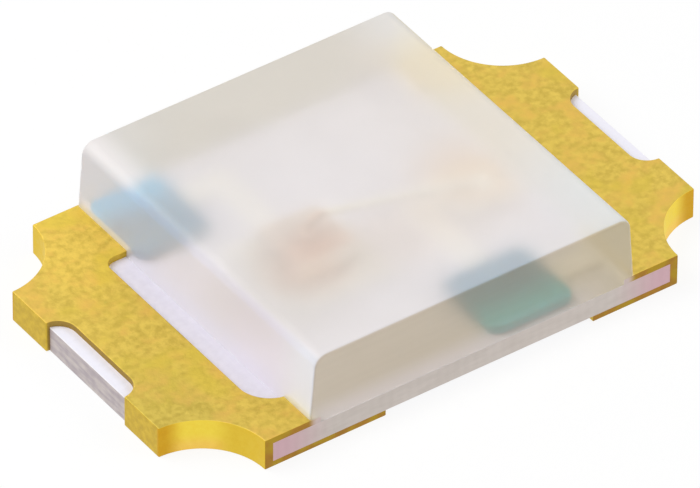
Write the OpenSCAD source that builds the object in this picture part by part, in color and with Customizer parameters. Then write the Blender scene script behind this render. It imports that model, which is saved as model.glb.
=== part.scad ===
// Thin chip LED on a resin board, with wrap-around plated end terminals and a milky moulded lens.
// Millimetres. +X runs along the board from the cathode end to the anode end, -Y is the front side,
// +Z is up, and the origin is under the middle of the part, on the plane of the solder faces.

/* [Board] */
// Length over the plated ends
board_l = 2.0; // [1.85:0.05:2.4]
// Width across the two sawn sides
board_w = 1.25; // [1.1:0.05:1.6]
// Thickness of the resin core
core_t = 0.07; // [0.05:0.005:0.2]

/* [Terminals] */
// Thickness of the metal on the top and bottom of the board
land_t = 0.022; // [0.015:0.001:0.035]
// Thickness of the metal on the board ends and in the corner notches
plate_t = 0.03; // [0.02:0.005:0.05]
// Radius of the plated quarter-round notch at each corner
notch_r = 0.23; // [0.15:0.01:0.28]
// Width of the bare window in the middle of each end
window_w = 0.42; // [0.3:0.01:0.5]
// Depth of the window into the land, also the radius of its round ends
window_d = 0.065; // [0.045:0.005:0.12]
// Distance from the face of the end plating back to the resin in the window
window_recess = 0.012; // [0.005:0.001:0.02]
// Length of the top land along the middle of the board
land_l = 0.31; // [0.22:0.01:0.36]
// Width of the arm that carries the conductor in under the lens
trace_arm_w = 0.27; // [0.2:0.01:0.32]
// Width of the plain arm on the opposite side
plain_arm_w = 0.14; // [0.1:0.01:0.2]
// Inside corner radius next to the conductor arm
trace_arm_r = 0.04; // [0.02:0.005:0.08]
// Inside corner radius next to the plain arm
plain_arm_r = 0.11; // [0.04:0.005:0.14]
// Length of the arms that the lens covers
arm_lap = 0.04; // [0.02:0.005:0.08]
// Length of the cathode solder land under the board
cathode_pad_l = 0.675; // [0.5:0.005:0.75]
// Length of the anode solder land under the board
anode_pad_l = 0.55; // [0.4:0.005:0.65]

/* [Conductors under the lens] */
// Width of the conductors that join the lands to the die and the bond pad
trace_w = 0.09; // [0.06:0.005:0.14]
// Border of the die pad outside the foot of the adhesive bead
die_pad_border = 0.012; // [0.005:0.001:0.03]
// Length of the bond pad
bond_pad_l = 0.24; // [0.16:0.01:0.28]
// Width of the bond pad
bond_pad_w = 0.22; // [0.14:0.01:0.3]
// Distance from the end wall of the lens to the bond pad
bond_pad_inset = 0.03; // [0.02:0.005:0.06]

/* [Solder resist] */
// Length of the cathode dam along the board
cathode_dam_l = 0.26; // [0.18:0.01:0.3]
// Width of the cathode dam across the board
cathode_dam_w = 0.31; // [0.2:0.005:0.34]
// Length of the anode dam along the board
anode_dam_l = 0.31; // [0.2:0.01:0.34]
// Width of the anode dam across the board
anode_dam_w = 0.285; // [0.2:0.005:0.34]
// Corner radius of the dams
dam_corner_r = 0.04; // [0.01:0.005:0.06]
// Thickness of the resist over a conductor
dam_t = 0.012; // [0.008:0.001:0.02]
// Distance from the sawn side to a dam
dam_side_gap = 0.02; // [0.01:0.005:0.05]
// Distance from the end wall of the lens to the cathode dam
cathode_dam_inset = 0.02; // [0.015:0.005:0.08]
// Distance from the end wall of the lens to the anode dam
anode_dam_inset = 0.205; // [0.12:0.005:0.22]
// Length of the polarity triangle under the board
mark_l = 0.34; // [0.2:0.01:0.4]
// Width of the polarity triangle under the board
mark_w = 0.5; // [0.3:0.01:0.7]
// Thickness of the polarity triangle
mark_t = 0.012; // [0.008:0.001:0.014]

/* [Die and bond wire] */
// Side of the square die
die_s = 0.22; // [0.18:0.01:0.26]
// Height of the die
die_h = 0.09; // [0.07:0.005:0.14]
// Place of the die along the board
die_x = -0.18; // [-0.22:0.01:-0.16]
// Radius of the round electrode on the die
electrode_r = 0.045; // [0.038:0.001:0.07]
// Height of the electrode
electrode_h = 0.004; // [0.002:0.001:0.008]
// Thickness of the adhesive under the die
attach_t = 0.01; // [0.006:0.001:0.02]
// Height of the adhesive bead around the die
attach_bead_h = 0.03; // [0.02:0.005:0.05]
// Clearance of the bead's rim outside the die corners
attach_rim = 0.01; // [0.006:0.001:0.02]
// Spread of the bead at its foot, outside its rim
attach_spread = 0.02; // [0.01:0.005:0.04]
// Diameter of the bond wire
wire_d = 0.025; // [0.018:0.001:0.032]
// Radius of the ball bond on the electrode
ball_r = 0.032; // [0.024:0.001:0.036]
// Height of the ball bond
ball_h = 0.016; // [0.01:0.001:0.022]
// Height of the wire's crown above the die
loop_rise = 0.075; // [0.07:0.001:0.1]
// Foot radius of the stitch bond on the bond pad
stitch_r = 0.04; // [0.03:0.001:0.05]
// Height of the stitch bond
stitch_h = 0.014; // [0.008:0.001:0.02]
// Distance from the outer edge of the bond pad to the stitch
stitch_inset = 0.1; // [0.06:0.005:0.12]

/* [Lens] */
// Length of each board end that the lens leaves bare
end_show = 0.395; // [0.34:0.005:0.42]
// Thickness of the lens over the wire's crown
lens_cover = 0.061; // [0.03:0.001:0.2]
// Draft of the moulded end walls, in degrees
lens_draft = 4.5; // [1:0.5:10]
// Radius along the moulded top edges at both ends
lens_edge_r = 0.045; // [0.01:0.005:0.06]

/* [Hidden] */
$fn = 64;

// Heights of the faces that the pieces share
core_top = land_t + core_t;
board_t = core_top + land_t;
die_base = board_t + attach_t;
die_top = die_base + die_h;
electrode_top = die_top + electrode_h;
crown_z = die_top + loop_rise;
lens_top = crown_z + lens_cover;

// Lines along and across the board that the pieces share
half_l = board_l / 2;
half_w = board_w / 2;
lens_half = half_l - end_show;
land_edge = half_l - land_l;
arm_end = lens_half - arm_lap;
trace_y = half_w - dam_side_gap - min(cathode_dam_w, anode_dam_w) / 2;
bond_pad_end = lens_half - bond_pad_inset;
stitch_x = bond_pad_end - stitch_inset;
anode_dam_end = lens_half - anode_dam_inset;
anode_leg_x = anode_dam_end - anode_dam_l / 2;
cathode_dam_end = -lens_half + cathode_dam_inset;
mark_x = (cathode_pad_l - anode_pad_l) / 2;

// Adhesive bead radii around the corners of the die
attach_rim_r = die_s / sqrt(2) + attach_rim;
attach_foot_r = attach_rim_r + attach_spread;
die_pad_half = attach_foot_r + die_pad_border;

// Wire loop: a bend that rises from the middle of the ball, then a straight run down to the stitch
loop_z = electrode_top + ball_h / 2;
loop_r = crown_z - wire_d / 2 - loop_z;
loop_x = die_x + loop_r;
wire_end_z = board_t + wire_d / 2;
loop_reach = norm([stitch_x - loop_x, wire_end_z - loop_z]);
loop_angle = atan2(wire_end_z - loop_z, stitch_x - loop_x) + acos(loop_r / loop_reach);
run_l = sqrt(loop_reach * loop_reach - loop_r * loop_r);

// Lens corner: distance from the sharp corner to the points where the edge radius starts
lens_h = lens_top - core_top;
lens_top_half = lens_half - lens_h * tan(lens_draft);
edge_tangent = lens_edge_r / tan((90 + lens_draft) / 2);

// Flat rectangle between two lines along X and two along Y
module span(x0, x1, y0, y1) {
    translate([x0, y0]) square([x1 - x0, y1 - y0]);
}

// Flat layer between two heights
module layer(z0, z1) {
    translate([0, 0, z0]) linear_extrude(z1 - z0) children();
}

// One disc on each corner of the board
module corner_discs(r) {
    for (x = [-half_l, half_l], y = [-half_w, half_w]) translate([x, y]) circle(r = r);
}

// Outline of the plated board
module board_plan() {
    difference() {
        span(-half_l, half_l, -half_w, half_w);
        corner_discs(notch_r);
    }
}

// Outline of the resin core, inside the plating
module core_plan() {
    difference() {
        span(-half_l + plate_t, half_l - plate_t, -half_w, half_w);
        corner_discs(notch_r + plate_t);
    }
}

// Round-ended window across the anode end
module window_plan() {
    straight = window_w / 2 - window_d;
    translate([half_l, 0]) {
        square([2 * window_d, 2 * straight], center = true);
        for (y = [-straight, straight]) translate([0, y]) circle(r = window_d);
    }
}

// Resin in the window of the anode end, level with the bottom land and almost out to the plating's face
module window_fill() {
    layer(0, core_top) intersection() {
        window_plan();
        span(0, half_l - window_recess, -half_w, half_w);
    }
}

// Bare strip between the arms of the anode land
module recess_plan() {
    front = -half_w + trace_arm_w;
    back = half_w - plain_arm_w;
    span(0, land_edge - plain_arm_r, front + trace_arm_r, back);
    span(0, land_edge - trace_arm_r, front, back - plain_arm_r);
    span(0, land_edge, front + trace_arm_r, back - plain_arm_r);
    translate([land_edge - trace_arm_r, front + trace_arm_r]) circle(r = trace_arm_r);
    translate([land_edge - plain_arm_r, back - plain_arm_r]) circle(r = plain_arm_r);
}

// Top land of the anode end; the cathode land is the same shape turned half round
module end_land_plan() {
    difference() {
        intersection() {
            board_plan();
            span(arm_end, half_l, -half_w, half_w);
        }
        recess_plan();
        window_plan();
    }
}

// Conductor from a land's arm, along the side, then across to the middle of the board
module trace_plan(leg_x, arm_x, side) {
    half_trace = trace_w / 2;
    y = side * trace_y;
    span(min(leg_x - half_trace, arm_x), max(leg_x + half_trace, arm_x), y - half_trace, y + half_trace);
    span(leg_x - half_trace, leg_x + half_trace, min(y, -half_trace), max(y, half_trace));
}

// Metal on top of the board at the anode end, with the bond pad
module anode_plan() {
    end_land_plan();
    trace_plan(anode_leg_x, arm_end + trace_w / 2, -1);
    span(anode_leg_x, bond_pad_end, -trace_w / 2, trace_w / 2);
    span(bond_pad_end - bond_pad_l, bond_pad_end, -bond_pad_w / 2, bond_pad_w / 2);
}

// Metal on top of the board at the cathode end, with the die pad
module cathode_plan() {
    rotate(180) end_land_plan();
    trace_plan(die_x, -arm_end - trace_w / 2, 1);
    span(die_x - die_pad_half, die_x + die_pad_half, -die_pad_half, die_pad_half);
}

// Metal skin that wraps the anode end from the top land to a bottom land of the given length
module wrap(pad_l) {
    layer(0, land_t) difference() {
        intersection() {
            board_plan();
            span(half_l - pad_l, half_l, -half_w, half_w);
        }
        window_plan();
    }
    layer(land_t, core_top) difference() {
        board_plan();
        core_plan();
        window_plan();
        span(-half_l, 0, -half_w, half_w);
    }
}

// Resist film with round corners over a conductor, from x0 to x1 along the board
module dam(x0, x1, w, side) {
    r = dam_corner_r;
    far = half_w - dam_side_gap;
    y0 = min(side * far, side * (far - w));
    y1 = y0 + w;
    layer(core_top, board_t + dam_t) {
        span(x0 + r, x1 - r, y0, y1);
        span(x0, x1, y0 + r, y1 - r);
        for (x = [x0 + r, x1 - r], y = [y0 + r, y1 - r]) translate([x, y]) circle(r = r);
    }
}

// Wire from the ball over the die down to the stitch
module wire_loop() {
    translate([loop_x, 0, loop_z]) rotate([90, 0, 0]) rotate(loop_angle) {
        rotate_extrude(angle = 180 - loop_angle) translate([loop_r, 0]) circle(d = wire_d);
        translate([loop_r, 0, 0]) rotate([90, 0, 0]) cylinder(d = wire_d, h = run_l);
    }
}

// Long section of the lens, with drafted ends and round top edges
module lens_section() {
    edge_x = lens_top_half - edge_tangent;
    shoulder_x = lens_top_half + edge_tangent * sin(lens_draft);
    shoulder_z = lens_top - edge_tangent * cos(lens_draft);
    polygon([
        [-lens_half, core_top], [lens_half, core_top], [shoulder_x, shoulder_z], [edge_x, lens_top],
        [-edge_x, lens_top], [-shoulder_x, shoulder_z]
    ]);
    for (x = [-edge_x, edge_x]) translate([x, lens_top - lens_edge_r]) circle(r = lens_edge_r);
}

module substrate() {
    color("#ece7e6") {
        layer(land_t, core_top) core_plan();
        for (turn = [0, 180]) rotate(turn) window_fill();
    }
}

module cathode_terminal() {
    color("#d8b64a") {
        layer(core_top, board_t) cathode_plan();
        rotate(180) wrap(cathode_pad_l);
    }
}

module anode_terminal() {
    color("#d8b64a") {
        layer(core_top, board_t) anode_plan();
        wrap(anode_pad_l);
    }
}

module cathode_resist_dam() {
    color("#2f8f98") difference() {
        dam(cathode_dam_end, cathode_dam_end + cathode_dam_l, cathode_dam_w, 1);
        layer(core_top, board_t) cathode_plan();
    }
}

module anode_resist_dam() {
    color("#2f8f98") difference() {
        dam(anode_dam_end - anode_dam_l, anode_dam_end, anode_dam_w, -1);
        layer(core_top, board_t) anode_plan();
    }
}

module die_attach() {
    color("#b9b6ae") difference() {
        translate([die_x, 0, board_t]) cylinder(r1 = attach_foot_r, r2 = attach_rim_r, h = attach_bead_h);
        led_die();
    }
}

module led_die() {
    color("#c9a64a") {
        translate([die_x - die_s / 2, -die_s / 2, die_base]) cube([die_s, die_s, die_h]);
        translate([die_x, 0, die_top]) cylinder(r = electrode_r, h = electrode_h);
    }
}

module bond_wire() {
    color("#e2b93c") {
        translate([die_x, 0, electrode_top]) cylinder(r = ball_r, h = ball_h);
        wire_loop();
        translate([stitch_x, 0, board_t]) cylinder(r1 = stitch_r, r2 = wire_d, h = stitch_h);
    }
}

module lens() {
    color("#e4e3e6") difference() {
        rotate([90, 0, 0]) linear_extrude(board_w, center = true) lens_section();
        layer(core_top, board_t) {
            cathode_plan();
            anode_plan();
        }
        cathode_resist_dam();
        anode_resist_dam();
        die_attach();
        led_die();
        bond_wire();
    }
}

module polarity_mark() {
    color("#2e7d5b") layer(land_t - mark_t, land_t) polygon([
        [mark_x - mark_l / 2, 0], [mark_x + mark_l / 2, -mark_w / 2], [mark_x + mark_l / 2, mark_w / 2]
    ]);
}

substrate();
cathode_terminal();
anode_terminal();
cathode_resist_dam();
anode_resist_dam();
die_attach();
led_die();
bond_wire();
lens();
polarity_mark();
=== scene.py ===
"""Looks of a thin chip LED: a white resin board with gold wrap-around ends under a milky moulded lens.

Sizes are in millimetres. Each piece is built in millimetres and turned to metres when it is done.
"""

import math

import bmesh
import bpy
from mathutils import Matrix, Vector


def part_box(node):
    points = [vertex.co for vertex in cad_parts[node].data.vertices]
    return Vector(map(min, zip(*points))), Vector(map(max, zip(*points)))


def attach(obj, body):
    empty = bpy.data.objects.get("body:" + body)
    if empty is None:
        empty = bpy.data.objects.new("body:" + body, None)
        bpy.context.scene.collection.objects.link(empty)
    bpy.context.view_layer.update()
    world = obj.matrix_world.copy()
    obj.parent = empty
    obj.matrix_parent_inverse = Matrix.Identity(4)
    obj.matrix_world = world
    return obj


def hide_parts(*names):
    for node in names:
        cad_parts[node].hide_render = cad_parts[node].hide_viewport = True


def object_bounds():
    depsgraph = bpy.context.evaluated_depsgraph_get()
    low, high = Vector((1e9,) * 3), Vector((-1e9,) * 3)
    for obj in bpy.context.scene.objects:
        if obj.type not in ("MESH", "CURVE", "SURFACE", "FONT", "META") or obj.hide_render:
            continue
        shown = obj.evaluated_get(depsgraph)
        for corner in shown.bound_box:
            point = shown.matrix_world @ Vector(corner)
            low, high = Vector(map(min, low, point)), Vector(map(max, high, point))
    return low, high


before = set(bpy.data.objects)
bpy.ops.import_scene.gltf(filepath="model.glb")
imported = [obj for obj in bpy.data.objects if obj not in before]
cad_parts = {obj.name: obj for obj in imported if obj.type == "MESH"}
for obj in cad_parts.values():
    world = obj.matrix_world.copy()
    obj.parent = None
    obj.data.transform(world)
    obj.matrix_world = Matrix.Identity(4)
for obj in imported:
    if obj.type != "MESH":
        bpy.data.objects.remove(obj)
cad_low, cad_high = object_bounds()

MM = 0.001


def box_mm(node):
    """Lowest and highest corner of a CAD node, in millimetres."""
    low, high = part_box(node)
    return low / MM, high / MM


# Sizes that the frame gives
half_l = cad_high.x / MM
half_w = cad_high.y / MM
fill_x, _, core_top = box_mm("substrate")[1]
land_top = box_mm("anode_terminal")[1].z
land_t = land_top - core_top
lens_low, lens_high = box_mm("lens")
die_low, die_high = box_mm("led_die")
bead_low, bead_high = box_mm("die_attach")
wire_top = box_mm("bond_wire")[1].z
mark_low, mark_high = box_mm("polarity_mark")

# Sizes of the plated ends and of the conductors that run in under the lens
NOTCH_R = 0.23
PLATE_T = 0.03
WINDOW_W = 0.42
WINDOW_D = 0.065
LAND_L = 0.31
TRACE_ARM_W = 0.27
PLAIN_ARM_W = 0.14
TRACE_ARM_R = 0.04
PLAIN_ARM_R = 0.11
ARM_LAP = 0.04
ANODE_PAD_L = 0.55
CATHODE_PAD_L = 0.675
TRACE_W = 0.09
TRACE_Y = 0.4625
ANODE_LEG_X = 0.245
DIE_X = -0.18
DIE_PAD_HALF = 0.1976
BOND_PAD_X = (0.335, 0.575)
BOND_PAD_HALF = 0.11

# Sizes of the lens, the die and the wire
LENS_DRAFT = 4.5
LENS_EDGE_R = 0.045
ELECTRODE_R = 0.045
ELECTRODE_H = 0.004
BEAD_RIM_R = 0.1656
WIRE_D = 0.025
BALL_R = 0.032
BALL_H = 0.016
STITCH_X = 0.475
STITCH_R = 0.04
STITCH_H = 0.014

# Rounding of the edges, and the hair of room between two faces that would lie in one plane
METAL_EDGE = 0.006
FINE_EDGE = 0.003
RESIN_EDGE = 0.012
LENS_SAW_EDGE = 0.01
DAM_EDGE = 0.01
DAM_CORNER_R = 0.04
HAIR = 0.0005

# Number of parts that curves and rounded edges are cut into
ARC_STEPS = 24
SHORT_ARC_STEPS = 8
CORNER_STEPS = 6
WINDOW_STEPS = 12
BEND_STEPS = 20
TURN_STEPS = 64
EDGE_STEPS = 2
SOFT_EDGE_STEPS = 3

# Angles between two faces: below the first they are joined to one flat, above the second their edge is
# rounded, above the third it is shaded sharp
FLAT_ANGLE = math.radians(0.5)
ROUND_ANGLE = math.radians(30)
SHARP_ANGLE = math.radians(40)

# Tints, painted shade and painted light that show through the lens: middle and reach of the round ones,
# and limits of the glow by the wire
DIE_STAIN = (-0.2, -0.05, 0)
DIE_STAIN_REACH = (0.0, 0.25)
# Middle and reach of the painted shade by the die
DIE_SHADE = (-0.32, -0.08, 0)
DIE_SHADE_REACH = (0.06, 0.33)
PAD_BLUSH = (0.49, 0.053, 0)
PAD_BLUSH_REACH = (0.04, 0.28)
# Limits of the painted warm light along the wire
WIRE_GLOW_Y = -0.05
WIRE_GLOW_REACH = (0.05, 0.22)
WIRE_GLOW_START = (-0.25, -0.05)
WIRE_GLOW_END = (0.35, 0.55)

# Levels between which most of a noise lies, and white without shade
NOISE_RANGE = (0.3, 0.7)
WHITE = (1, 1, 1, 1)


# Outlines and meshes

def arc(centre, radius, start, end, steps=ARC_STEPS):
    """Points on an arc from one angle to another, in degrees."""
    turns = [math.radians(start + (end - start) * i / steps) for i in range(steps + 1)]
    return [(centre[0] + radius * math.cos(a), centre[1] + radius * math.sin(a)) for a in turns]


def rounded_rectangle(low, high, radius):
    """Outline of a rectangle with round corners."""
    corners = [(high.x, high.y, 0), (low.x, high.y, 90), (low.x, low.y, 180), (high.x, low.y, 270)]
    middle = (low + high) / 2
    points = []
    for x, y, start in corners:
        centre = (x - math.copysign(radius, x - middle.x), y - math.copysign(radius, y - middle.y))
        points += arc(centre, radius, start, start + 90, CORNER_STEPS)
    return points


class Shell:
    """A closed mesh put together from flat faces that share their corners."""

    same_digits = 6

    def __init__(self):
        self.mesh = bmesh.new()
        self.corners = {}

    def corner(self, point):
        """The one corner at a point."""
        key = tuple(round(c, self.same_digits) for c in point)
        if key not in self.corners:
            self.corners[key] = self.mesh.verts.new(point)
        return self.corners[key]

    def face(self, points):
        """Flat face with these corners."""
        self.mesh.faces.new([self.corner(p) for p in points])

    def plate(self, outline, height, up=True):
        """Level face that looks up or down."""
        ring = [(x, y, height) for x, y in outline]
        self.face(ring if up else ring[::-1])

    def fence(self, path, *heights):
        """Upright faces along a path, with the solid on the path's left."""
        for low, high in zip(heights, heights[1:]):
            for a, b in zip(path, path[1:]):
                self.face([(*a, low), (*b, low), (*b, high), (*a, high)])

    def prism(self, outline, low, high):
        """Upright solid between two heights."""
        self.plate(outline, low, up=False)
        self.plate(outline, high)
        self.fence(outline + outline[:1], low, high)

    def turned(self, profile, centre):
        """Solid of revolution about an upright axis, from (radius, height) points, top last."""
        rings = []
        for radius, height in profile:
            circle = arc(centre, radius, 0, 360, TURN_STEPS)[:-1]
            rings.append([(x, y, height) for x, y in circle])
        self.face(rings[0][::-1])
        self.face(rings[-1])
        for lower, upper in zip(rings, rings[1:]):
            for i in range(TURN_STEPS):
                j = (i + 1) % TURN_STEPS
                self.face([lower[i], lower[j], upper[j], upper[i]])

    def build(self, name):
        """Mesh of the shell, with the faces that make one flat joined."""
        bmesh.ops.dissolve_limit(
            self.mesh, angle_limit=FLAT_ANGLE, verts=self.mesh.verts, edges=self.mesh.edges
        )
        bmesh.ops.recalc_face_normals(self.mesh, faces=self.mesh.faces)
        data = bpy.data.meshes.new(name)
        self.mesh.to_mesh(data)
        self.mesh.free()
        return data


def new_object(name, data):
    """New object in the scene."""
    made = bpy.data.objects.new(name, data)
    bpy.context.scene.collection.objects.link(made)
    return made


def round_edges(piece, width, segments=EDGE_STEPS, where=lambda middle: True):
    """Rounds the sharp edges of a piece, those whose middle passes the test."""
    mesh = bmesh.new()
    mesh.from_mesh(piece.data)
    sharp = [
        edge for edge in mesh.edges
        if edge.calc_face_angle(0) > ROUND_ANGLE
        and where((edge.verts[0].co + edge.verts[1].co) / 2)
    ]
    bmesh.ops.bevel(
        mesh, geom=sharp, offset=width, segments=segments, profile=0.5, affect="EDGES", clamp_overlap=True
    )
    mesh.to_mesh(piece.data)
    mesh.free()


def keep_shape(piece):
    """Keeps the plain mesh that the modifiers of a piece make."""
    bpy.context.view_layer.update()
    graph = bpy.context.evaluated_depsgraph_get()
    piece.data = bpy.data.meshes.new_from_object(piece.evaluated_get(graph))
    piece.modifiers.clear()


def settle(piece, material, stands_for):
    """Smooths a piece but keeps its flats flat, turns it to metres, and puts it on the frame."""
    piece.data.shade_smooth()
    piece.data.set_sharp_from_angle(angle=SHARP_ANGLE)
    piece.modifiers.new("flat_flats", "WEIGHTED_NORMAL").keep_sharp = True
    keep_shape(piece)
    piece.data.transform(Matrix.Scale(MM, 4))
    piece.data.materials.clear()
    piece.data.materials.append(material)
    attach(piece, "root")
    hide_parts(stands_for)


# Node trees

def add(tree, kind, links=None, **settings):
    """Adds a node, sets its options, and fills its inputs with values or links."""
    node = tree.nodes.new(kind)
    for option, value in settings.items():
        setattr(node, option, value)
    for name, source in (links or {}).items():
        if isinstance(source, bpy.types.NodeSocket):
            tree.links.new(source, node.inputs[name])
        else:
            node.inputs[name].default_value = source
    return node


def axes(tree, vector):
    """The three parts of a vector."""
    return add(tree, "ShaderNodeSeparateXYZ", {0: vector}).outputs


def maths(tree, operation, a, b=0.0):
    """Result of one operation on one or two values."""
    return add(tree, "ShaderNodeMath", {0: a, 1: b}, operation=operation).outputs[0]


def shape_tree(name, sizes):
    """A Geometry Nodes tree with named sizes and a material; returns it with its input node."""
    tree = bpy.data.node_groups.new(name, "GeometryNodeTree")
    tree.interface.new_socket("Geometry", in_out="INPUT", socket_type="NodeSocketGeometry")
    for label, value in sizes.items():
        kind = "NodeSocketInt" if isinstance(value, int) else "NodeSocketFloat"
        socket = tree.interface.new_socket(label, in_out="INPUT", socket_type=kind)
        socket.default_value = value
    tree.interface.new_socket("Finish", in_out="INPUT", socket_type="NodeSocketMaterial")
    tree.interface.new_socket("Geometry", in_out="OUTPUT", socket_type="NodeSocketGeometry")
    return tree, tree.nodes.new("NodeGroupInput").outputs


def end_tree(tree, geometry, finish):
    """Closes a shape tree: plain geometry with its material."""
    real = add(tree, "GeometryNodeRealizeInstances", {"Geometry": geometry})
    painted = add(tree, "GeometryNodeSetMaterial", {"Geometry": real.outputs[0], "Material": finish})
    add(tree, "NodeGroupOutput", {"Geometry": painted.outputs[0]})


def grow(piece, tree, sizes):
    """Runs a shape tree on a piece with these sizes, and keeps the plain mesh that it makes."""
    modifier = piece.modifiers.new(tree.name, "NODES")
    modifier.node_group = tree
    for item in tree.interface.items_tree:
        if item.in_out == "INPUT" and item.name in sizes:
            modifier[item.identifier] = sizes[item.name]
    keep_shape(piece)


# Finishes

def tone(red, green, blue):
    """Colour as seen, 0 to 255, as the shader wants it."""
    def linear(c):
        c /= 255
        return c / 12.92 if c <= 0.04045 else ((c + 0.055) / 1.055) ** 2.4
    return (linear(red), linear(green), linear(blue), 1.0)


def finish(name):
    """New node material; returns it with its tree, its shader and its place in millimetres."""
    material = bpy.data.materials.new(name)
    material.use_nodes = True
    tree = material.node_tree
    shader = tree.nodes["Principled BSDF"]
    place = add(tree, "ShaderNodeTexCoord").outputs["Object"]
    scaled = add(tree, "ShaderNodeVectorMath", {0: place, "Scale": 1 / MM}, operation="SCALE")
    return material, tree, shader, scaled.outputs[0]


def noise(tree, place, scale, detail=2.0, roughness=0.5):
    """Noise with this many features to the millimetre."""
    sizes = {"Vector": place, "Scale": scale, "Detail": detail, "Roughness": roughness}
    return add(tree, "ShaderNodeTexNoise", sizes).outputs["Fac"]


def times(tree, first, second):
    """Product of two places or two colours, part by part."""
    return add(tree, "ShaderNodeVectorMath", {0: first, 1: second}, operation="MULTIPLY").outputs[0]


def size_of(tree, value):
    """Value without its sign."""
    return maths(tree, "ABSOLUTE", value)


def sum_of_squares(tree, a, b):
    """Square of the distance that two offsets make."""
    return maths(tree, "ADD", maths(tree, "POWER", a, 2), maths(tree, "POWER", b, 2))


def both(tree, *shares):
    """Share that is full only where all of these are."""
    product = shares[0]
    for share in shares[1:]:
        product = maths(tree, "MULTIPLY", product, share)
    return product


def band(tree, value, low, high, to_low=0.0, to_high=1.0):
    """Smooth step of a value from one level to another."""
    levels = {"Value": value, "From Min": low, "From Max": high, "To Min": to_low, "To Max": to_high}
    return add(tree, "ShaderNodeMapRange", levels, interpolation_type="SMOOTHSTEP").outputs[0]


def fade(tree, value, low, high, strength=1.0):
    """Smooth step of a value down to nothing."""
    return band(tree, value, low, high, strength, 0.0)


def spread(tree, grain, low=0.0, high=1.0):
    """Noise drawn out from its usual range to these levels."""
    return band(tree, grain, *NOISE_RANGE, low, high)


def blend(tree, share, first, second):
    """Colour between two colours."""
    node = add(tree, "ShaderNodeMix", {0: share, 6: first, 7: second}, data_type="RGBA")
    return node.outputs[2]


def tones_along(tree, value, first, *steps):
    """Colour that goes from tone to tone along a value; a step has its start, its end and its tone."""
    colour = first
    for start, end, step_tone in steps:
        colour = blend(tree, band(tree, value, start, end), colour, step_tone)
    return colour


def face_normal(tree):
    """The way a face looks, as its three parts."""
    return axes(tree, add(tree, "ShaderNodeNewGeometry").outputs["Normal"])


def facing(tree):
    """How squarely a face looks along each axis, either way, from 0 to 1."""
    return [size_of(tree, part) for part in face_normal(tree)]


def turned_away(tree, start, end):
    """Share of a face that looks to the front and the anode end, away from the key lamp."""
    along, across, _ = face_normal(tree)
    return band(tree, maths(tree, "SUBTRACT", along, across), start, end)


def from_upright(tree, place, foot):
    """Distance from an upright line that stands on this foot."""
    offset = add(tree, "ShaderNodeVectorMath", {0: place, 1: foot}, operation="SUBTRACT")
    x, y, _ = axes(tree, offset.outputs[0])
    return maths(tree, "SQRT", sum_of_squares(tree, x, y))


def paint(tree, shader, colour, roughness):
    """Links the colour and the roughness of a finish."""
    tree.links.new(colour, shader.inputs["Base Color"])
    tree.links.new(roughness, shader.inputs["Roughness"])


def bump(tree, shader, height, depth):
    """Fine relief of this depth, in millimetres."""
    relief = add(tree, "ShaderNodeBump", {"Height": height, "Distance": depth * MM, "Strength": 1.0})
    tree.links.new(relief.outputs[0], shader.inputs["Normal"])


def below_lens(tree, place, start, end):
    """Share of the board's top that the lens covers; its fade is counted from the lens's end wall."""
    x, _, z = axes(tree, place)
    inside = fade(tree, size_of(tree, x), lens_high.x + start, lens_high.x + end)
    return both(tree, inside, band(tree, z, land_t, core_top))


def under_milk(tree, place, colour):
    """Colour of the board as it shows through the lens: painted shade by the die, painted warm light
    along the wire, and warmer to the bond pad.
    """
    x, y, _ = axes(tree, place)
    # Painted shade by the die, grey on the board and the pads
    painted_die_shade = fade(tree, from_upright(tree, place, DIE_SHADE), *DIE_SHADE_REACH, 0.68)
    colour = blend(tree, painted_die_shade, colour, tone(179, 171, 170))
    # Painted warm light along the wire, and a warm tint round the bond pad
    along_wire = both(tree, band(tree, x, *WIRE_GLOW_START), fade(tree, x, *WIRE_GLOW_END))
    off_wire = size_of(tree, maths(tree, "SUBTRACT", y, WIRE_GLOW_Y))
    glow = both(tree, along_wire, fade(tree, off_wire, *WIRE_GLOW_REACH, 0.28))
    blush = fade(tree, from_upright(tree, place, PAD_BLUSH), *PAD_BLUSH_REACH, 0.65)
    warm = maths(tree, "MAXIMUM", glow, blush)
    return blend(tree, warm, colour, tone(214, 180, 140))


def gold_faces(tree, place, grain, cloud):
    """Level faces of the plating: satin, in olive and warm patches, with painted light at the back and
    painted shade at the front of the cathode land.
    """
    x, y, _ = axes(tree, place)
    arm_start, arm_end = (-0.92, -0.8), (-0.6, -0.5)
    end_part, back_part, front_part = (-0.85, -0.75), (0.1, 0.4), (-0.35, 0.1)
    satin = blend(tree, spread(tree, grain), tone(197, 171, 75), tone(216, 191, 93))
    warm = band(tree, cloud, 0.45, 0.75)
    satin = blend(tree, warm, satin, tone(217, 181, 90))
    olive = band(tree, noise(tree, place, 6), 0.5, 0.7, 0.0, 0.7)
    satin = blend(tree, olive, satin, tone(208, 186, 74))
    # Painted light at the back of the cathode land and painted shade at its front
    on_arm = both(tree, band(tree, x, *arm_start), fade(tree, x, *arm_end))
    light = both(tree, on_arm, band(tree, y, *back_part))
    shade = blend(tree, light, WHITE, (1.1, 1.08, 1.05, 1))
    front_shade = both(tree, fade(tree, x, *end_part), fade(tree, y, *front_part))
    shade = blend(tree, front_shade, shade, (0.9, 0.93, 0.95, 1))
    return times(tree, satin, shade)


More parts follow.
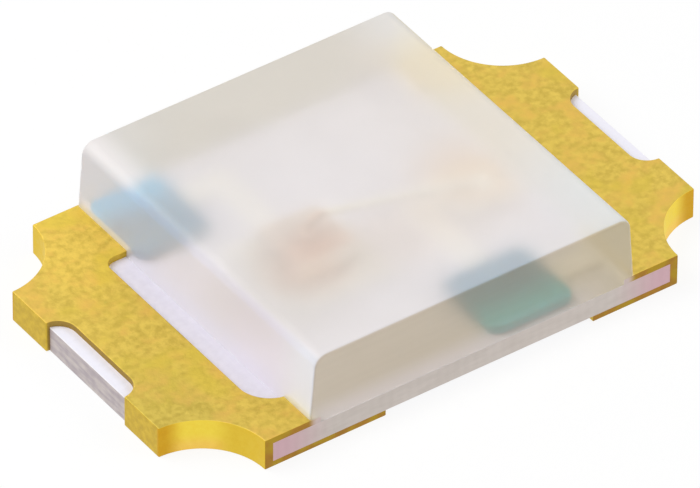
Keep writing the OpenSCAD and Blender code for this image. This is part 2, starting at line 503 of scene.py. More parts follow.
def gold_walls(tree, place, grain):
    """Upright faces of the plating: a painted highlight in the notches, with painted shade to their end
    and arm sides, and painted shade round the windows.
    """
    x, y, z = axes(tree, place)
    from_middle, from_axis = size_of(tree, x), size_of(tree, y)
    wall = blend(tree, spread(tree, grain), tone(198, 168, 58), tone(216, 188, 76))

    off_x = maths(tree, "SUBTRACT", half_l, from_middle)
    off_y = maths(tree, "SUBTRACT", half_w, from_axis)
    from_corner = sum_of_squares(tree, off_x, off_y)
    notch_limits = [(NOTCH_R + past_wall) ** 2 for past_wall in (0.004, 0.012)]
    # The notch walls carry a painted highlight, with painted shade towards the board's end and towards
    # the arm
    in_notch = fade(tree, from_corner, *notch_limits)
    to_top = band(tree, z, 0.01, 0.07)
    notch = blend(tree, to_top, tone(241, 204, 97), tone(237, 213, 80))
    end_side_shade = band(tree, from_middle, half_l - 0.09, half_l - 0.02)
    notch = blend(tree, end_side_shade, notch, tone(208, 164, 42))
    inner_side_shade = band(tree, off_x, NOTCH_R - 0.08, NOTCH_R - 0.03)
    notch = blend(tree, inner_side_shade, notch, tone(223, 193, 66))
    wall = blend(tree, in_notch, wall, notch)

    # Painted shade on the plating walls round the windows
    short_of_end = fade(tree, from_middle, half_l - METAL_EDGE, half_l - METAL_EDGE / 2)
    by_end = band(tree, from_middle, half_l - 3 * WINDOW_D, half_l - 2 * WINDOW_D)
    window_width = fade(tree, from_axis, WINDOW_W / 2 - 0.001, WINDOW_W / 2 + 0.001)
    in_window = both(tree, short_of_end, by_end, window_width)
    return blend(tree, in_window, wall, tone(170, 142, 72))


def gold_plating():
    """Gold with a painted sheen on its level faces, brown where it is sawn (partly painted shade), pale
    and veiled under the lens.
    """
    material, tree, shader, place = finish("gold_plating")
    _, sideways, upward = facing(tree)
    grain = noise(tree, place, 42, detail=3, roughness=0.6)
    cloud = noise(tree, place, 13)
    # Level faces carry a paler painted sheen; upright faces stay a deeper gold
    flat = band(tree, upward, 0.25, 0.8)
    plated = blend(tree, flat, gold_walls(tree, place, grain), gold_faces(tree, place, grain, cloud))

    # Sawn sides are brown, partly the sawn metal and partly painted shade
    from_axis = size_of(tree, axes(tree, place)[1])
    at_side = band(tree, from_axis, half_w - 0.004, half_w - 0.001)
    sawn = both(tree, at_side, band(tree, sideways, 0.5, 0.9))
    brown = blend(tree, grain, tone(138, 98, 34), tone(192, 146, 62))
    olive = band(tree, cloud, 0.42, 0.6, 0.0, 0.8)
    brown = blend(tree, olive, brown, tone(176, 148, 44))
    bare = blend(tree, sawn, plated, brown)

    covered = below_lens(tree, place, start=-0.03, end=0.005)
    # Under the lens the upright faces get painted light, paler than the level ones
    veiled = blend(tree, flat, tone(250, 247, 247), under_milk(tree, place, tone(229, 225, 226)))
    veiled = blend(tree, sawn, veiled, tone(230, 210, 205))
    paint(tree, shader, blend(tree, covered, bare, veiled), spread(tree, grain, 0.5, 0.64))
    tree.links.new(maths(tree, "SUBTRACT", 1.0, covered), shader.inputs["Metallic"])
    bump(tree, shader, noise(tree, place, 70, detail=3), depth=0.001)
    return material


def white_resin():
    """White glass-cloth laminate: woven faces, tinted under the lens with painted shade by the die, sides
    pinker to the ends; painted light in the windows and on their edges, painted shade on the end faces.
    """
    material, tree, shader, place = finish("white_resin")
    from_middle = size_of(tree, axes(tree, place)[0])
    endways, _, upward = facing(tree)
    speck = noise(tree, place, 60, detail=3)
    fibres = noise(tree, times(tree, place, (12, 12, 60)), 1, detail=3)

    face = blend(tree, speck, tone(211, 207, 221), tone(222, 219, 231))
    # Painted light on the resin top in the windows, against the shade of the plating round it
    in_window = band(tree, from_middle, half_l - 2 * WINDOW_D, half_l - WINDOW_D)
    face = blend(tree, in_window, face, tone(240, 239, 250))
    covered = below_lens(tree, place, start=-0.06, end=0.0)
    face = blend(tree, covered, face, under_milk(tree, place, face))

    side = blend(tree, band(tree, fibres, 0.2, 0.8), tone(226, 215, 206), tone(236, 225, 217))
    to_end = band(tree, from_middle, 0.5, 0.72)
    side = blend(tree, to_end, side, tone(236, 194, 202))
    # End faces are mottled and darker, the darkness a painted shade
    mottle_and_shade = blend(tree, band(tree, fibres, 0.35, 0.65), tone(200, 188, 192), tone(226, 215, 211))
    at_end = band(tree, endways, 0.5, 0.9)
    side = blend(tree, at_end, side, mottle_and_shade)

    flat = band(tree, upward, 0.3, 0.8)
    plain = blend(tree, flat, side, face)
    # Painted highlight on the rounded edges of the windows
    painted_edge_highlight = both(tree, band(tree, endways, 0.2, 0.5), flat, in_window)
    paint(tree, shader, blend(tree, painted_edge_highlight, plain, tone(252, 250, 253)), spread(tree, speck, 0.5, 0.7))
    weave = {"Vector": place, "Scale": 9.0, "Distortion": 0.6}
    threads = [add(tree, "ShaderNodeTexWave", weave, bands_direction=way) for way in ("X", "Y")]
    cloth = maths(tree, "ADD", *(thread.outputs["Fac"] for thread in threads))
    bump(tree, shader, maths(tree, "ADD", cloth, speck), depth=0.0006)
    return material


def teal_resist():
    """Printed blue-green film, with a painted highlight towards the sides of the board."""
    material, tree, shader, place = finish("teal_resist")
    cloud = noise(tree, place, 12, detail=3)
    blue = blend(tree, spread(tree, cloud), tone(16, 96, 146), tone(42, 120, 158))
    y = axes(tree, place)[1]
    # thin holds a painted highlight towards the sides of the board, bluer at the back
    highlight_to_side = band(tree, size_of(tree, y), 0.42, 0.58)
    to_back = band(tree, y, -0.1, 0.1)
    thin = blend(tree, to_back, tone(38, 174, 200), tone(42, 169, 222))
    paint(tree, shader, blend(tree, highlight_to_side, blue, thin), spread(tree, cloud, 0.35, 0.5))
    bump(tree, shader, noise(tree, place, 50), depth=0.0006)
    return material


def stained(tree, place, colour, back_start, back, rim):
    """Colour of the die or its bead as the lens shows it, with other tones at the back and the rim."""
    to_back = band(tree, axes(tree, place)[1], back_start, 0.1)
    colour = blend(tree, to_back, colour, back)
    to_rim = band(tree, from_upright(tree, place, DIE_STAIN), *DIE_STAIN_REACH)
    return blend(tree, to_rim, colour, rim)


def silver_adhesive():
    """Silver-filled adhesive, flaky, greyer at the back and paler outwards, with painted light on the
    faces turned from the key lamp.
    """
    material, tree, shader, place = finish("silver_adhesive")
    flakes = add(tree, "ShaderNodeTexVoronoi", {"Vector": place, "Scale": 70.0}).outputs["Color"]
    flake = axes(tree, flakes)[0]
    paste = blend(tree, flake, tone(194, 156, 134), tone(204, 166, 144))
    paste = stained(tree, place, paste, -0.1, back=tone(186, 171, 167), rim=tone(214, 203, 195))
    to_anode = band(tree, axes(tree, place)[0], -0.25, -0.05)
    # shaded holds painted light on the faces turned from the key lamp, paler towards the anode end
    shaded = blend(tree, to_anode, tone(226, 210, 198), tone(244, 236, 228))
    colour = blend(tree, turned_away(tree, start=0.0, end=0.6), paste, shaded)
    paint(tree, shader, colour, band(tree, flake, 0, 1, 0.35, 0.6))
    bump(tree, shader, flake, depth=0.001)
    return material


def die_crystal():
    """Sawn semiconductor crystal, brown at the front, greyer at the back and paler to its edges, with
    painted light on the faces turned from the key lamp.
    """
    material, tree, shader, place = finish("die_crystal")
    cloud = noise(tree, place, 16, detail=3)
    crystal = blend(tree, spread(tree, cloud), tone(190, 141, 112), tone(198, 149, 120))
    crystal = stained(tree, place, crystal, -0.09, back=tone(172, 151, 145), rim=tone(225, 211, 202))
    to_anode = band(tree, axes(tree, place)[0], -0.22, -0.08)
    # shaded holds painted light on the faces turned from the key lamp, paler towards the anode end
    shaded = blend(tree, to_anode, tone(250, 219, 192), tone(255, 242, 230))
    colour = blend(tree, turned_away(tree, start=0.2, end=0.8), crystal, shaded)
    paint(tree, shader, colour, spread(tree, cloud, 0.4, 0.6))
    saw_marks = noise(tree, times(tree, place, (1, 1, 14)), 12)
    bump(tree, shader, saw_marks, depth=0.0008)
    return material


def gold_wire():
    """Drawn wire with faint draw lines, pale as the lens shows it and as painted light, and browner by
    the die.
    """
    material, tree, shader, place = finish("gold_wire")
    lines = noise(tree, times(tree, place, (2, 30, 30)), 4)
    # The pale tone is partly the veil of the lens and partly painted light on the wire
    pale = blend(tree, spread(tree, lines), tone(246, 240, 232), tone(249, 243, 235))
    off_die = band(tree, from_upright(tree, place, (DIE_X, 0, 0)), 0.03, 0.1)
    paint(tree, shader, blend(tree, off_die, tone(212, 180, 162), pale), spread(tree, lines, 0.45, 0.6))
    return material


def sawn_epoxy(tree, place, streak, cloudier_and_lit, to_back):
    """Sawn sides of the lens: khaki, partly as painted shade, paler at the foot and at the back, with
    painted light at the anode end.
    """
    x, _, z = axes(tree, place)
    # The khaki is partly a warm tint of the sawn epoxy and partly painted shade
    khaki = blend(tree, band(tree, streak, 0.2, 0.8), tone(187, 175, 146), tone(190, 178, 149))
    above_foot = band(tree, z, core_top, core_top + 0.1)
    khaki = blend(tree, above_foot, tone(206, 197, 183), khaki)
    back = tones_along(tree, x, tone(227, 217, 211), (-0.6, -0.2, tone(203, 192, 172)))
    khaki = blend(tree, to_back, khaki, back)
    # Painted light from the gold at the anode end
    anode_end_light = blend(tree, to_back, tone(211, 198, 167), tone(221, 212, 204))
    return blend(tree, cloudier_and_lit, khaki, anode_end_light)


def moulded_epoxy(tree, place, cloud, cloudier_and_lit, to_back):
    """Top and end walls of the lens: milky, cool at the front, with creamy painted light from the gold at
    the anode end.
    """
    y = axes(tree, place)[1]
    on_wall = band(tree, facing(tree)[0], 0.4, 0.9)
    milk = blend(tree, band(tree, cloud, 0.35, 0.65), tone(220, 218, 213), tone(225, 223, 218))
    wall = tones_along(
        tree, y, tone(229, 234, 236),
        (-0.6, -0.4, tone(229, 226, 234)),
        (-0.3, -0.1, tone(226, 224, 227)),
    )
    milk = blend(tree, on_wall, milk, wall)
    # Painted light from the gold at the anode end, in cream tones
    painted_gold_light = tones_along(
        tree, y, tone(231, 234, 235),
        (-0.45, -0.05, tone(233, 229, 222)),
        (0.05, 0.27, tone(236, 227, 206)),
        (0.36, 0.56, tone(231, 230, 228)),
    )
    painted_gold_light_wall = blend(tree, to_back, tone(233, 229, 223), tone(234, 224, 192))
    painted_gold_light = blend(tree, on_wall, painted_gold_light, painted_gold_light_wall)
    return blend(tree, cloudier_and_lit, milk, painted_gold_light)


def milky_epoxy():
    """Milky see-through epoxy, more clouded and with painted light at the anode end, and a painted
    highlight on one top corner at the cathode end.
    """
    material, tree, shader, place = finish("milky_epoxy")
    x, y, z = axes(tree, place)
    highlight_x, highlight_y = (-0.56, -0.45), (0.31, 0.42)
    cloud = noise(tree, place, 2.4)
    streak = noise(tree, times(tree, place, (3, 1, 40)), 1.5, detail=3)
    # Clouds the anode end and carries its painted light
    cloudier_and_lit = band(tree, x, 0.3, 0.58)
    to_back = band(tree, y, -0.2, 0.2)
    near_top = band(tree, z, lens_high.z - 0.04, lens_high.z - 0.01)
    # Painted highlight on the rounded top edge at the back of the cathode end
    corner = both(tree, fade(tree, x, *highlight_x), band(tree, y, *highlight_y), near_top)
    milk = moulded_epoxy(tree, place, cloud, cloudier_and_lit, to_back)
    milk = blend(tree, corner, milk, tone(238, 234, 233))
    khaki = sawn_epoxy(tree, place, streak, cloudier_and_lit, to_back)
    sawn = band(tree, facing(tree)[1], 0.4, 0.9)
    paint(tree, shader, blend(tree, sawn, milk, khaki), spread(tree, cloud, 0.94, 1.0))
    clear = band(tree, cloudier_and_lit, 0.0, 1.0, 0.47, 0.25)
    # Less see-through under the painted highlight
    clear = both(tree, clear, band(tree, corner, 0.0, 1.0, 1.0, 0.45))
    tree.links.new(clear, shader.inputs["Transmission Weight"])
    shader.inputs["IOR"].default_value = 1.08
    shader.inputs["Coat Weight"].default_value = 0.7
    shader.inputs["Coat Roughness"].default_value = 0.42
    bump(tree, shader, both(tree, streak, sawn), depth=0.0002)
    return material


def green_resist():
    """Printed green mark on the underside."""
    material, tree, shader, place = finish("green_resist")
    cloud = noise(tree, place, 22, detail=3)
    ink = blend(tree, spread(tree, cloud), tone(34, 112, 76), tone(52, 138, 96))
    paint(tree, shader, ink, spread(tree, cloud, 0.4, 0.6))
    bump(tree, shader, cloud, depth=0.001)
    return material


# Outlines of the board ends

def mirrored(path):
    """The same path on the other side of the board, run back."""
    return [(x, -y) for x, y in path[::-1]]


def opposite(path):
    """The same path at the other end of the board."""
    return [(-x, -y) for x, y in path]


def window_end(start, end, steps):
    """Round front end of a window, between two depths in from the end of the board."""
    centre = (half_l, -WINDOW_W / 2 + WINDOW_D)
    angles = [360 - math.degrees(math.acos(-depth / WINDOW_D)) for depth in (start, end)]
    return arc(centre, WINDOW_D, *angles, steps)


def window_edge(depth, steps):
    """Edge of a window from the inside of the plating in to a depth and back out."""
    front = window_end(PLATE_T, depth, steps)
    return front + mirrored(front)


def core_notch():
    """Front notch of the resin core, inside its plating."""
    radius = NOTCH_R + PLATE_T
    return arc((half_l, -half_w), radius, 180, math.degrees(math.acos(-PLATE_T / radius)))


# Plated ends

def end_land_inner_edge():
    """Inner edge of a top land from the back arm to the front arm, round the bare strip."""
    arm_end = lens_high.x - ARM_LAP
    land_edge = half_l - LAND_L
    front = -half_w + TRACE_ARM_W
    back = half_w - PLAIN_ARM_W
    back_corner = (land_edge - PLAIN_ARM_R, back - PLAIN_ARM_R)
    front_corner = (land_edge - TRACE_ARM_R, front + TRACE_ARM_R)
    return (
        [(arm_end, half_w), (arm_end, back)]
        + arc(back_corner, PLAIN_ARM_R, 90, 0)
        + arc(front_corner, TRACE_ARM_R, 0, -90, SHORT_ARC_STEPS)
        + [(arm_end, front)]
    )


def conductor_edge(leg_x, pad):
    """Edge of the conductor that leaves the front arm, round the pad at its end and back."""
    arm_end = lens_high.x - ARM_LAP
    half = TRACE_W / 2
    return (
        [(arm_end, -TRACE_Y + half), (leg_x + half, -TRACE_Y + half)]
        + pad
        + [(leg_x - half, -TRACE_Y - half), (arm_end, -TRACE_Y - half)]
    )


def bond_pad_edge():
    """Edge of the pad that the wire ends on, with the leg that joins it to the conductor."""
    half = TRACE_W / 2
    near, far = BOND_PAD_X
    return [
        (ANODE_LEG_X + half, -half), (near, -half), (near, -BOND_PAD_HALF), (far, -BOND_PAD_HALF),
        (far, BOND_PAD_HALF), (near, BOND_PAD_HALF), (near, half), (ANODE_LEG_X - half, half),
    ]


def die_pad_edge(leg_x):
    """Edge of the pad that the die stands on, at the end of its leg."""
    half = TRACE_W / 2
    low, high = leg_x - DIE_PAD_HALF, leg_x + DIE_PAD_HALF
    return [
        (leg_x + half, -DIE_PAD_HALF), (high, -DIE_PAD_HALF), (high, DIE_PAD_HALF),
        (low, DIE_PAD_HALF), (low, -DIE_PAD_HALF), (leg_x - half, -DIE_PAD_HALF),
    ]


def plated_end(name, pad_l, conductor):
    """Metal skin of one end: top land with its conductor, end plating, notch walls and solder land."""
    levels = (0.0, land_t, core_top, land_top)
    front_outer = arc((half_l, -half_w), NOTCH_R, 180, 90) + window_end(0, PLATE_T, SHORT_ARC_STEPS)
    window = window_edge(WINDOW_D, WINDOW_STEPS)
    back_outer = mirrored(front_outer)
    front_inner = core_notch() + front_outer[-1:]
    back_inner = mirrored(front_inner)
    inner_edge = end_land_inner_edge() + conductor
    arm_end = inner_edge[0][0]
    pad_x = half_l - pad_l

    skin = Shell()
    front_start = (arm_end, -half_w)
    skin.plate([front_start] + front_outer + window[1:-1] + back_outer + inner_edge, land_top)
    skin.plate([front_start] + front_inner + window[1:-1] + back_inner + inner_edge, core_top, up=False)
    pad_front, pad_back = (pad_x, -half_w), (pad_x, half_w)
    skin.plate([pad_front] + front_inner + window[1:-1] + back_inner + [pad_back], land_t)
    skin.plate([pad_front] + front_outer + window[1:-1] + back_outer + [pad_back], 0.0, up=False)
    skin.fence(front_outer, *levels)
    skin.fence(back_outer, *levels)
    skin.fence(front_inner[::-1], *levels[1:3])
    skin.fence(back_inner[::-1], *levels[1:3])
    for low, high in (levels[:2], levels[2:]):
        skin.fence(window, low, high)
    skin.fence(inner_edge + [front_start], *levels[2:])
    skin.fence([pad_back, pad_front], *levels[:2])
    wall_x, notch_x = front_inner[0][0], front_outer[0][0]
    side = [
        (arm_end, levels[2]), (wall_x, levels[2]), (wall_x, levels[1]), (pad_x, levels[1]),
        (pad_x, levels[0]), (notch_x, levels[0]), (notch_x, levels[1]), (notch_x, levels[2]),
        (notch_x, levels[3]), (arm_end, levels[3]),
    ]
    skin.face([(x, -half_w, z) for x, z in side])
    skin.face([(x, half_w, z) for x, z in side[::-1]])
    return new_object(name, skin.build(name))


def open_edge(middle):
    """True on the rims of the top and bottom faces and on the upright corners of ends and notches."""
    level = middle.z < HAIR or middle.z > land_top - HAIR
    end = abs(middle.x) > half_l - HAIR
    notch = abs(middle.y) > half_w - HAIR and abs(abs(middle.x) - half_l + NOTCH_R) < HAIR
    return level or end or notch


def build_terminals(gold):
    """Both plated ends, the cathode's turned half round to its own end."""
    anode = plated_end("anode_plating", ANODE_PAD_L, conductor_edge(ANODE_LEG_X, bond_pad_edge()))
    cathode = plated_end("cathode_plating", CATHODE_PAD_L, conductor_edge(-DIE_X, die_pad_edge(-DIE_X)))
    cathode.data.transform(Matrix.Rotation(math.pi, 4, "Z"))
    for piece, node in ((anode, "anode_terminal"), (cathode, "cathode_terminal")):
        round_edges(piece, METAL_EDGE, where=open_edge)
        settle(piece, gold, node)


def build_board(resin):
    """Resin core with a round notch at each corner, filling the window at each end."""
    front, back = core_notch(), mirrored(core_notch())
    lip = window_edge(half_l - fill_x, CORNER_STEPS)
    inner = window_edge(WINDOW_D, WINDOW_STEPS)
    core = Shell()
    for end in (list, opposite):
        core.fence(end(front + lip[:1]), land_t, core_top)
        core.fence(end(lip), 0.0, land_t, core_top)
        core.fence(end(lip[-1:] + back), land_t, core_top)
        core.fence(end(inner[::-1]), 0.0, land_t)
        core.plate(end(lip + inner[-2:0:-1]), 0.0, up=False)
        core.fence(end(back[-1:] + opposite(front[:1])), land_t, core_top)
    top = front + lip + back
    foot = front + inner + back
    core.plate(top + opposite(top), core_top)
    core.plate(foot + opposite(foot), land_t, up=False)
    board = new_object("resin_core", core.build("resin_core"))
    round_edges(board, RESIN_EDGE, SOFT_EDGE_STEPS, where=lambda middle: abs(middle.x) > fill_x - HAIR)
    settle(board, resin, "substrate")


# Lens

def lens_tree():
    """Tapered section with round top corners, drawn out across the board."""
    tree, size = shape_tree("moulded_block", {
        "Foot length": 1.2, "Top length": 1.2, "Height": 0.3, "Width": 1.2,
        "Edge radius": 0.03, "Edge steps": 10, "Foot height": 0.1, "Weld distance": 1e-5,
    })
    section = add(
        tree, "GeometryNodeCurvePrimitiveQuadrilateral",
        {"Height": size["Height"], "Bottom Width": size["Foot length"], "Top Width": size["Top length"],
         "Offset": 0.0},
        mode="TRAPEZOID",
    )
    height = axes(tree, add(tree, "GeometryNodeInputPosition").outputs[0])[1]
    at_top = maths(tree, "GREATER_THAN", height, 0.0)
    radius = maths(tree, "MULTIPLY", at_top, size["Edge radius"])
    rounded = add(
        tree, "GeometryNodeFilletCurve",
        {"Curve": section.outputs[0], "Count": size["Edge steps"], "Radius": radius}, mode="POLY",
    )
    filled = add(tree, "GeometryNodeFillCurve", {"Curve": rounded.outputs[0]}, mode="NGONS")
    drawn = add(
        tree, "GeometryNodeExtrudeMesh",
        {"Mesh": filled.outputs[0], "Offset Scale": size["Width"], "Individual": False}, mode="FACES",
    )
    back = add(tree, "GeometryNodeFlipFaces", {"Mesh": filled.outputs[0]})
    closed = add(tree, "GeometryNodeJoinGeometry")
    tree.links.new(drawn.outputs[0], closed.inputs[0])
    tree.links.new(back.outputs[0], closed.inputs[0])
    welded = add(
        tree, "GeometryNodeMergeByDistance",
        {"Geometry": closed.outputs[0], "Distance": size["Weld distance"]},
    )
    half = maths(tree, "MULTIPLY", size["Width"], 0.5)
    middle = maths(tree, "MULTIPLY", size["Height"], 0.5)
    rise = maths(tree, "ADD", middle, size["Foot height"])
    shift = add(tree, "ShaderNodeCombineXYZ", {"Y": half, "Z": rise}).outputs[0]
    stood = add(
        tree, "GeometryNodeTransform",
        {"Geometry": welded.outputs[0], "Translation": shift, "Rotation": (math.pi / 2, 0, 0)},
    )
    end_tree(tree, stood.outputs[0], size["Finish"])
    return tree


def build_lens(epoxy):
    """Milky block over the middle of the board, drafted at its ends and sawn at its sides."""
    foot = lens_low.z - HAIR
    height = lens_high.z - foot
    lean = math.tan(math.radians(LENS_DRAFT))
    lens = new_object("lens_block", bpy.data.meshes.new("lens_block"))
    grow(lens, lens_tree(), {
        "Foot length": 2 * lens_high.x, "Top length": 2 * (lens_high.x - height * lean),
        "Height": height, "Width": 2 * (half_w - HAIR), "Edge radius": LENS_EDGE_R,
        "Foot height": foot, "Finish": epoxy,
    })
    round_edges(lens, LENS_SAW_EDGE, SOFT_EDGE_STEPS, where=lambda middle: middle.z > foot + HAIR)
    settle(lens, epoxy, "lens")
    lens.visible_shadow = False


# Pieces under the lens and under the board

def build_dams(resist):
    """The two printed films with round corners."""
    for node in ("cathode_resist_dam", "anode_resist_dam"):
        low, high = box_mm(node)
        film = Shell()
        film.prism(rounded_rectangle(low, high, DAM_CORNER_R), low.z + HAIR, high.z)
        name = node.replace("resist_dam", "dam_film")
        dam = new_object(name, film.build(name))
        round_edges(dam, DAM_EDGE, SOFT_EDGE_STEPS)
        settle(dam, resist, node)


def build_die(crystal, adhesive):
    """Die with its round electrode, on a bead of adhesive."""
    die_top = die_high.z - ELECTRODE_H
    square = [
        (die_low.x, die_low.y), (die_high.x, die_low.y),
        (die_high.x, die_high.y), (die_low.x, die_high.y),
    ]
    block = Shell()
    block.prism(square, die_low.z, die_top)
    block.turned([(ELECTRODE_R, die_top - HAIR), (ELECTRODE_R, die_high.z)], (DIE_X, 0))
    die = new_object("die_chip", block.build("die_chip"))
    round_edges(die, FINE_EDGE)
    settle(die, crystal, "led_die")

    spread_r = bead_high.x - DIE_X - BEAD_RIM_R
    bead_h = bead_high.z - bead_low.z
    turns = [math.pi / 2 * i / SHORT_ARC_STEPS for i in range(SHORT_ARC_STEPS + 1)]
    hollow = [
        (BEAD_RIM_R + spread_r * (1 - math.sin(a)), bead_low.z + bead_h * (1 - math.cos(a)))
        for a in turns
    ]
    paste = Shell()
    paste.turned(hollow, (DIE_X, 0))
    bead = new_object("adhesive_bead", paste.build("adhesive_bead"))
    settle(bead, adhesive, "die_attach")


def wire_path():
    """Centre line of the wire: a bend that rises from the ball, then a straight run to the stitch."""
    start_z = die_high.z + BALL_H / 2
    bend_r = wire_top - WIRE_D / 2 - start_z
    centre_x = DIE_X + bend_r
    end_z = land_top + WIRE_D / 2
    reach = math.hypot(STITCH_X - centre_x, end_z - start_z)
    slope = math.atan2(end_z - start_z, STITCH_X - centre_x)
    leave = math.degrees(slope + math.acos(bend_r / reach))
    bend = arc((centre_x, start_z), bend_r, 180, leave, BEND_STEPS)
    return [(x, 0.0, z) for x, z in bend + [(STITCH_X, end_z)]]


def wire_tree():
    """Round wire along a path, with a flattened ball at its start and a stitch at its end."""
    tree, size = shape_tree("bonded_wire", {
        "Wire diameter": 0.025, "Ball radius": 0.03, "Ball height": 0.016,
        "Stitch radius": 0.04, "Stitch height": 0.014,
        "Wire sides": 16, "Bond sides": 24, "Ball rings": 12,
    })
    path = add(tree, "GeometryNodeMeshToCurve", {"Mesh": size["Geometry"]}).outputs[0]
    wire_r = maths(tree, "MULTIPLY", size["Wire diameter"], 0.5)
    ring = add(
        tree, "GeometryNodeCurvePrimitiveCircle", {"Resolution": size["Wire sides"], "Radius": wire_r},
    )
    tube = add(
        tree, "GeometryNodeCurveToMesh",
        {"Curve": path, "Profile Curve": ring.outputs[0], "Fill Caps": True},
    )
    ball = add(
        tree, "GeometryNodeMeshUVSphere",
        {"Segments": size["Bond sides"], "Rings": size["Ball rings"], "Radius": size["Ball radius"]},
    )
    squash = maths(tree, "DIVIDE", size["Ball height"], size["Ball radius"])
    flat = add(tree, "ShaderNodeCombineXYZ", {"X": 1.0, "Y": 1.0, "Z": squash}).outputs[0]
    stitch = add(
        tree, "GeometryNodeMeshCone",
        {"Vertices": size["Bond sides"], "Radius Top": size["Wire diameter"],
         "Radius Bottom": size["Stitch radius"], "Depth": size["Stitch height"]},
    )
    drop = add(tree, "ShaderNodeCombineXYZ", {"Z": maths(tree, "MULTIPLY", wire_r, -1.0)}).outputs[0]
    lowered = add(
        tree, "GeometryNodeTransform", {"Geometry": stitch.outputs["Mesh"], "Translation": drop},
    )
    at_start = add(tree, "GeometryNodeCurveEndpointSelection", {"Start Size": 1, "End Size": 0})
    at_end = add(tree, "GeometryNodeCurveEndpointSelection", {"Start Size": 0, "End Size": 1})
    joined = add(tree, "GeometryNodeJoinGeometry")
    bonds = (
        (ball.outputs["Mesh"], at_start, flat),
        (lowered.outputs[0], at_end, (1.0, 1.0, 1.0)),
    )
    for shape, ends, scale in bonds:
        placed = add(tree, "GeometryNodeInstanceOnPoints", {
            "Points": path, "Selection": ends.outputs[0], "Instance": shape, "Scale": scale,
        })
        tree.links.new(placed.outputs[0], joined.inputs[0])
    tree.links.new(tube.outputs[0], joined.inputs[0])
    end_tree(tree, joined.outputs[0], size["Finish"])
    return tree


def build_wire(gold):
    """Bond wire from the die's electrode to the bond pad."""
    data = bpy.data.meshes.new("wire_loop")
    path = wire_path()
    data.from_pydata(path, [(i, i + 1) for i in range(len(path) - 1)], [])
    wire = new_object("wire_loop", data)
    grow(wire, wire_tree(), {
        "Wire diameter": WIRE_D, "Ball radius": BALL_R, "Ball height": BALL_H / 2,
        "Stitch radius": STITCH_R, "Stitch height": STITCH_H, "Finish": gold,
    })
    settle(wire, gold, "bond_wire")
    wire.visible_shadow = False


def build_mark(ink):
    """Triangle printed under the board, pointing to the cathode."""
    ahead, back = mark_low.x, mark_high.x
    film = Shell()
    film.prism([(ahead, 0), (back, mark_low.y), (back, mark_high.y)], mark_low.z, mark_high.z)
    mark = new_object("mark_film", film.build("mark_film"))
    round_edges(mark, FINE_EDGE)
    settle(mark, ink, "polarity_mark")


# Studio

def seen_ray(tree):
    """1 for rays that show a surface as it is seen: from the camera, mirrored or passed through."""
    path = add(tree, "ShaderNodeLightPath").outputs
    seen = maths(tree, "MAXIMUM", path["Is Camera Ray"], path["Is Glossy Ray"])
    return maths(tree, "MAXIMUM", seen, path["Is Transmission Ray"])


def build_floor():
    """Plain white floor that keeps a soft shadow, and lets the sky light the underside of the part."""
    size, drop = 60 * MM, 0.001 * MM
    keep_shadow, paper_grey = 0.12, 0.98
    data = bpy.data.meshes.new("floor")
    corners = [(-2 * size, -size, -drop), (2 * size, -size, -drop), (0, 2 * size, -drop)]
    data.from_pydata(corners, [], [(0, 1, 2)])
    floor = new_object("floor", data)
    material = bpy.data.materials.new("studio_floor")
    material.cycles.emission_sampling = "NONE"
    material.use_nodes = True
    tree = material.node_tree
    tree.nodes.clear()
    paper = add(tree, "ShaderNodeBsdfDiffuse", {"Color": (paper_grey, paper_grey, paper_grey, 1)})
    white = add(tree, "ShaderNodeEmission", {"Color": WHITE, "Strength": 1.0})
    shares = {0: 1 - keep_shadow, 1: paper.outputs[0], 2: white.outputs[0]}
    mixed = add(tree, "ShaderNodeMixShader", shares)
    below = add(tree, "ShaderNodeNewGeometry").outputs["Backfacing"]
    diffuse = add(tree, "ShaderNodeLightPath").outputs["Is Diffuse Ray"]
    open_to = maths(tree, "MAXIMUM", below, diffuse)
    clear = add(tree, "ShaderNodeBsdfTransparent")
    shown = add(tree, "ShaderNodeMixShader", {0: open_to, 1: mixed.outputs[0], 2: clear.outputs[0]})
    add(tree, "ShaderNodeOutputMaterial", {"Surface": shown.outputs[0]})
    data.materials.append(material)


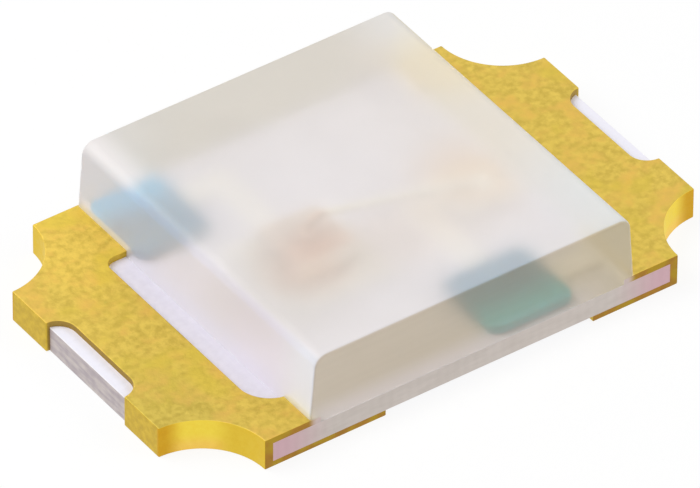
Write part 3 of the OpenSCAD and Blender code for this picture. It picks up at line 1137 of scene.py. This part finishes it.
def build_world(ambient):
    """White surroundings to the eye, a softer sky for the light."""
    world = bpy.data.worlds.new("studio")
    bpy.context.scene.world = world
    world.use_nodes = True
    tree = world.node_tree
    tree.nodes.clear()
    sky = add(tree, "ShaderNodeBackground", {"Color": WHITE, "Strength": ambient})
    white = add(tree, "ShaderNodeBackground", {"Color": WHITE, "Strength": 1.0})
    mixed = add(tree, "ShaderNodeMixShader", {0: seen_ray(tree), 1: sky.outputs[0], 2: white.outputs[0]})
    add(tree, "ShaderNodeOutputWorld", {"Surface": mixed.outputs[0]})


def softbox(name, direction, distance, size, share):
    """Square lamp aimed at the part; share is how bright it alone makes a white card that faces it."""
    lamp = bpy.data.lights.new(name, "AREA")
    lamp.size = size * MM
    lamp.energy = share * (math.pi * distance * MM) ** 2
    placed = new_object(name, lamp)
    away = Vector(direction).normalized()
    placed.location = away * distance * MM
    placed.rotation_euler = away.to_track_quat("Z", "Y").to_euler()


def build_camera():
    """Long lens at the photograph's viewing angle."""
    azimuth, elevation, tilt = (math.radians(a) for a in (-35.321, 39.546, 0.319))
    distance = 40.0
    shift_right, shift_down = 0.0143, 0.0748
    focal_px, frame_px = 13037.9, 700
    forward = Vector((
        -math.sin(azimuth) * math.cos(elevation), math.cos(azimuth) * math.cos(elevation),
        -math.sin(elevation),
    ))
    level = Vector((math.cos(azimuth), math.sin(azimuth), 0))
    right = Matrix.Rotation(-tilt, 3, forward) @ level
    up = right.cross(forward)
    data = bpy.data.cameras.new("camera")
    data.sensor_width = 36
    data.lens = data.sensor_width * focal_px / frame_px
    data.clip_start, data.clip_end = 1 * MM, 1000 * MM
    camera = new_object("camera", data)
    place = (-shift_right * right + shift_down * up - distance * forward) * MM
    turn = Matrix((right, up, -forward)).transposed().to_4x4()
    camera.matrix_world = Matrix.Translation(place) @ turn
    bpy.context.scene.camera = camera


build_terminals(gold_plating())
build_board(white_resin())
build_dams(teal_resist())
build_die(die_crystal(), silver_adhesive())
build_wire(gold_wire())
build_lens(milky_epoxy())
build_mark(green_resist())

build_floor()
build_world(ambient=0.49)
softbox("key", direction=(-0.5, 0.4, 0.8), distance=14, size=10, share=0.61)
softbox("fill", direction=(0.6, -0.6, 0.5), distance=16, size=12, share=0.3)
build_camera()
bpy.context.scene.view_settings.view_transform = "Standard"
